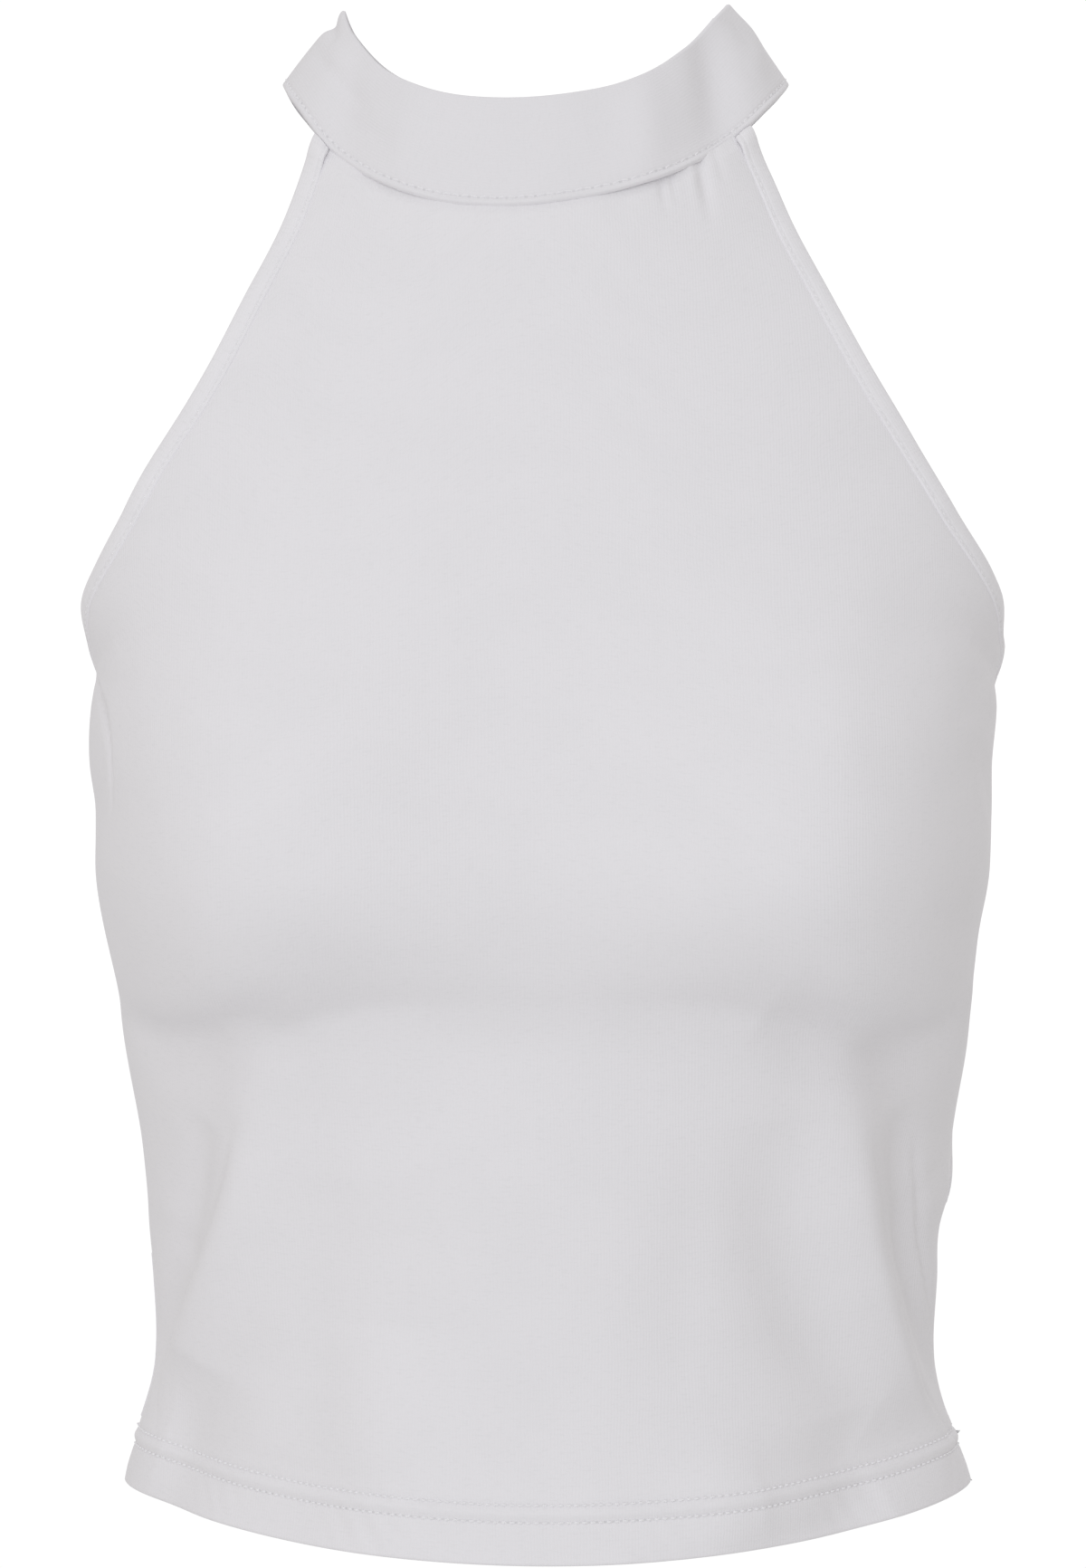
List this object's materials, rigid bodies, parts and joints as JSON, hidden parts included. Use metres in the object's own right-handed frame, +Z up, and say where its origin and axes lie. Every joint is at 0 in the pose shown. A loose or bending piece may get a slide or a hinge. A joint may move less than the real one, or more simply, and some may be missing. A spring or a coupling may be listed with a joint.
{
  "type": "sleeveless turtleneck top",
  "caption": "Cropped sleeveless top with a wide turtleneck band and halter armholes, in soft stretch jersey, hollow as worn.",
  "frame": {"origin": "centre of the neck band's lower edge, level with its side corners, where the wearer's neck holds the top up", "axes": "+X to the viewer's right, the front faces -Y, +Z up from hem to neck"},
  "size_m": [0.2997, 0.2242, 0.4953],
  "materials": {
    "body_jersey": "fine white cotton-stretch jersey, matt, faint vertical wales",
    "band_jersey": "the same white jersey folded double, smooth and a little stiffer",
    "binding_jersey": "the same white jersey folded into a narrow strip, matt"
  },
  "bodies": {
    "root": {"front_panel": "body_jersey", "back_panel": "body_jersey", "neck_band": "band_jersey", "armhole_binding_left": "binding_jersey", "armhole_binding_right": "binding_jersey"}
  },
  "joints": []
}
